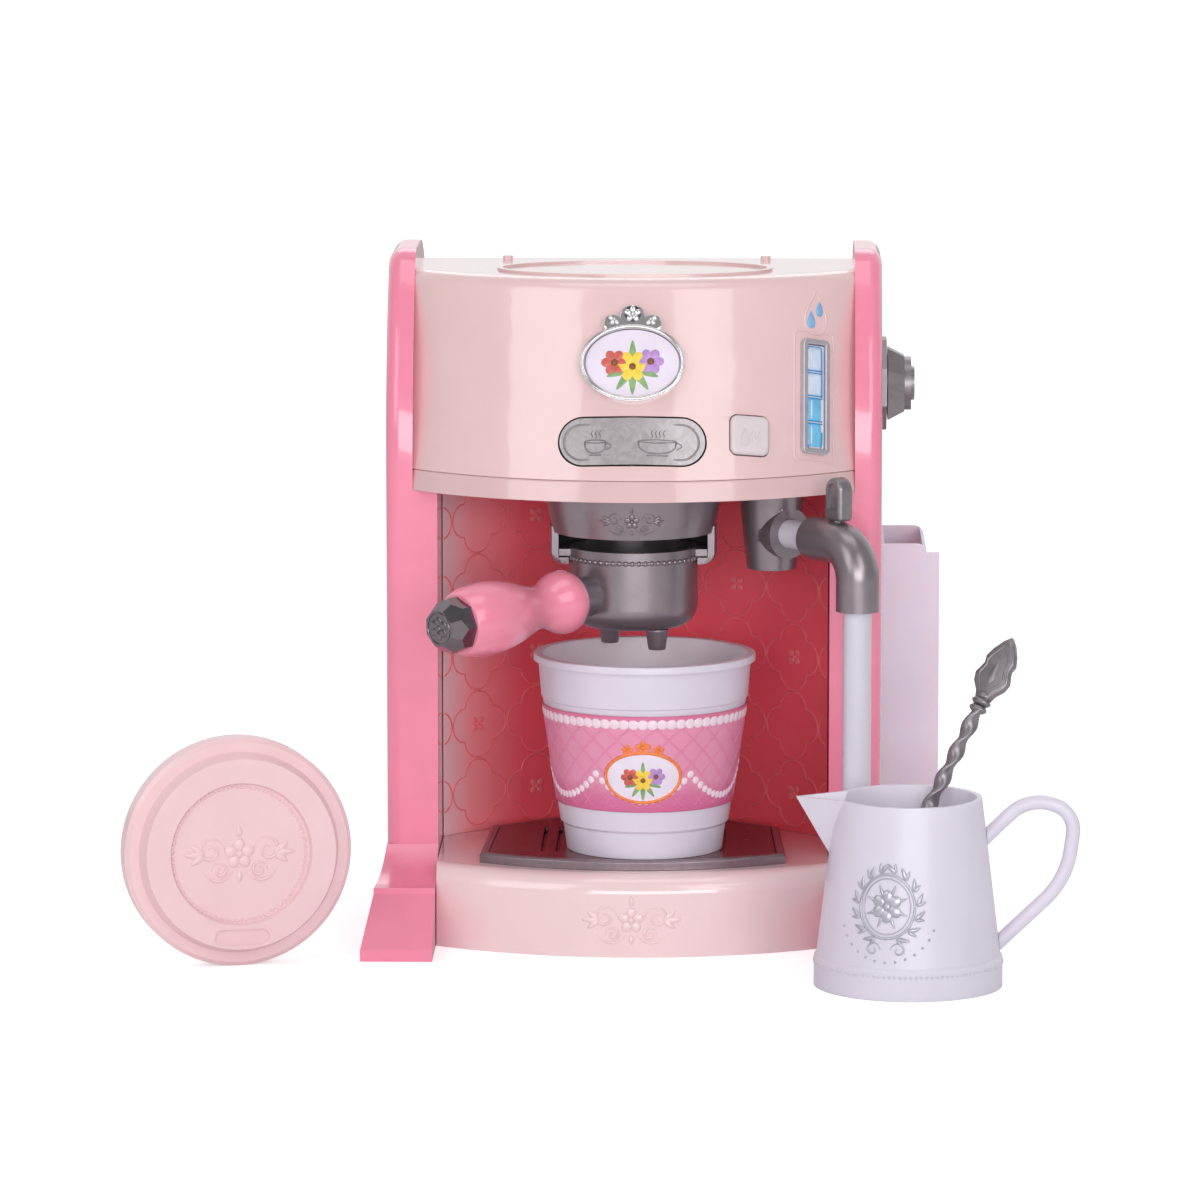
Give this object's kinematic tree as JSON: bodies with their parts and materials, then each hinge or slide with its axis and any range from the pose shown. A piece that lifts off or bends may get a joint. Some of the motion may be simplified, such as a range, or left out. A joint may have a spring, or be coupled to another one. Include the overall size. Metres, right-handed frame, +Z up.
{
  "type": "toy espresso machine",
  "caption": "Toy espresso machine with a bowed hood, turning portafilter, swinging tap, drip tray, side tank, and its loose cup, lid, milk pitcher and spoon.",
  "frame": {"origin": "on the floor under the machine, midway between the side panels and midway between the toes and the rear edges", "axes": "+X to the viewer's right, +Y to the back, +Z up"},
  "size_m": [0.3249, 0.2257, 0.2375],
  "materials": {
    "pink_plastic": "glossy mid pink",
    "light_pink_plastic": "glossy light pink",
    "silver_plastic": "metallic silver paint, satin",
    "chrome_trim": "vacuum-plated plastic",
    "picture_card": "glossy domed picture",
    "white_plastic": "white with a lavender cast, satin",
    "printed_sleeve": "printed band",
    "clear_button": "pale translucent",
    "gauge_rim": "glossy light pink",
    "gauge_blue": "printed blue levels",
    "frosted_plastic": "frosted translucent",
    "tray_plastic": "metallic silver paint",
    "grid_plastic": "dark metallic paint",
    "dark_plastic": "black",
    "steel": "plated",
    "board": "green circuit board",
    "switch_rubber": "grey silicone",
    "battery_jacket": "plain jacket"
  },
  "bodies": {
    "machine": {"left_side_panel": "pink_plastic", "right_side_panel": "pink_plastic", "hood_shell": "light_pink_plastic", "hood_underside": "light_pink_plastic", "rear_cover": "light_pink_plastic", "cover_screws": "steel", "speaker": "dark_plastic", "base_housing": "light_pink_plastic", "base_plate": "light_pink_plastic", "battery_box": "dark_plastic", "battery_door": "light_pink_plastic", "battery_door_screw": "steel", "batteries": "battery_jacket", "battery_contacts": "steel", "bay_liner": "light_pink_plastic", "badge_frame": "chrome_trim", "badge_insert": "picture_card", "gauge_frame": "gauge_rim", "gauge_window": "gauge_blue", "rocker_pin": "steel", "main_board": "board", "button_board": "board", "switch_domes": "switch_rubber", "group_head": "silver_plastic", "shower_screen": "dark_plastic", "tap_mount_front": "silver_plastic", "tap_mount_rear": "silver_plastic", "knob_escutcheon": "silver_plastic"},
    "portafilter": {"filter_basket": "silver_plastic", "twin_spouts": "silver_plastic", "handle_shank": "silver_plastic", "handle_grip": "pink_plastic", "grip_end_cap": "silver_plastic", "handle_bolt": "steel"},
    "brew_rocker": {"brew_rocker": "silver_plastic"},
    "steam_button": {"steam_button": "clear_button"},
    "steam_knob": {"steam_knob": "silver_plastic", "knob_cap": "silver_plastic", "knob_spindle": "steel", "spindle_clip": "steel"},
    "tap_arm": {"tap_pipe": "white_plastic", "tap_elbow_front": "silver_plastic", "tap_elbow_rear": "silver_plastic", "milk_tube": "white_plastic"},
    "tap_lever": {"tap_lever": "silver_plastic"},
    "drip_tray": {"drip_tray": "tray_plastic", "drip_grid": "grid_plastic"},
    "cup": {"cup": "white_plastic", "cup_sleeve": "printed_sleeve"},
    "water_tank": {"water_tank": "frosted_plastic"},
    "milk_pitcher": {"milk_pitcher": "white_plastic", "pitcher_handle": "white_plastic"},
    "spoon": {"spoon": "silver_plastic"},
    "cup_lid": {"cup_lid": "light_pink_plastic"}
  },
  "joints": [
    {"name": "portafilter_turn", "type": "hinge", "parent": "machine", "child": "portafilter", "pos_m": [0, -0.032, 0.1233], "axis": [0, 0, 1], "range_deg": [0, 45]},
    {"name": "rocker_tip", "type": "hinge", "parent": "machine", "child": "brew_rocker", "pos_m": [0, -0.05169, 0.17516], "axis": [0, 0.2829, 0.9592], "range_deg": [-3, 3], "stiffness_Nm_per_rad": 0.05},
    {"name": "steam_press", "type": "slide", "parent": "machine", "child": "steam_button", "axis": [-0.3745, 0.8893, -0.2623], "range_m": [0, 0.002], "stiffness_N_per_m": 300},
    {"name": "knob_turn", "type": "hinge", "parent": "machine", "child": "steam_knob", "pos_m": [0.086, 0.003, 0.1905], "axis": [1, 0, 0], "range_deg": [0, 270]},
    {"name": "tap_swing", "type": "hinge", "parent": "machine", "child": "tap_arm", "pos_m": [0.0478, -0.025, 0.142], "axis": [0.6018, -0.7986, 0], "range_deg": [-20, 45]},
    {"name": "lever_turn", "type": "hinge", "parent": "tap_arm", "child": "tap_lever", "pos_m": [0.07067, -0.05535, 0.1496], "axis": [0, 0, 1], "range_deg": [0, 90]},
    {"name": "tray_slide", "type": "slide", "parent": "machine", "child": "drip_tray", "axis": [0, -1, 0], "range_m": [0, 0.08]},
    {"name": "cup_slide", "type": "slide", "parent": "drip_tray", "child": "cup", "axis": [0, -1, 0], "range_m": [0, 0.12]},
    {"name": "tank_lift", "type": "slide", "parent": "machine", "child": "water_tank", "axis": [0, 0, 1], "range_m": [0, 0.09]},
    {"name": "pitcher_slide", "type": "slide", "parent": "machine", "child": "milk_pitcher", "axis": [0, -1, 0], "range_m": [0, 0.12]},
    {"name": "spoon_lift", "type": "slide", "parent": "milk_pitcher", "child": "spoon", "axis": [0.4438, 0.2403, 0.8633], "range_m": [0, 0.09]},
    {"name": "lid_lift", "type": "slide", "parent": "machine", "child": "cup_lid", "axis": [0, 0, 1], "range_m": [0, 0.1]}
  ]
}
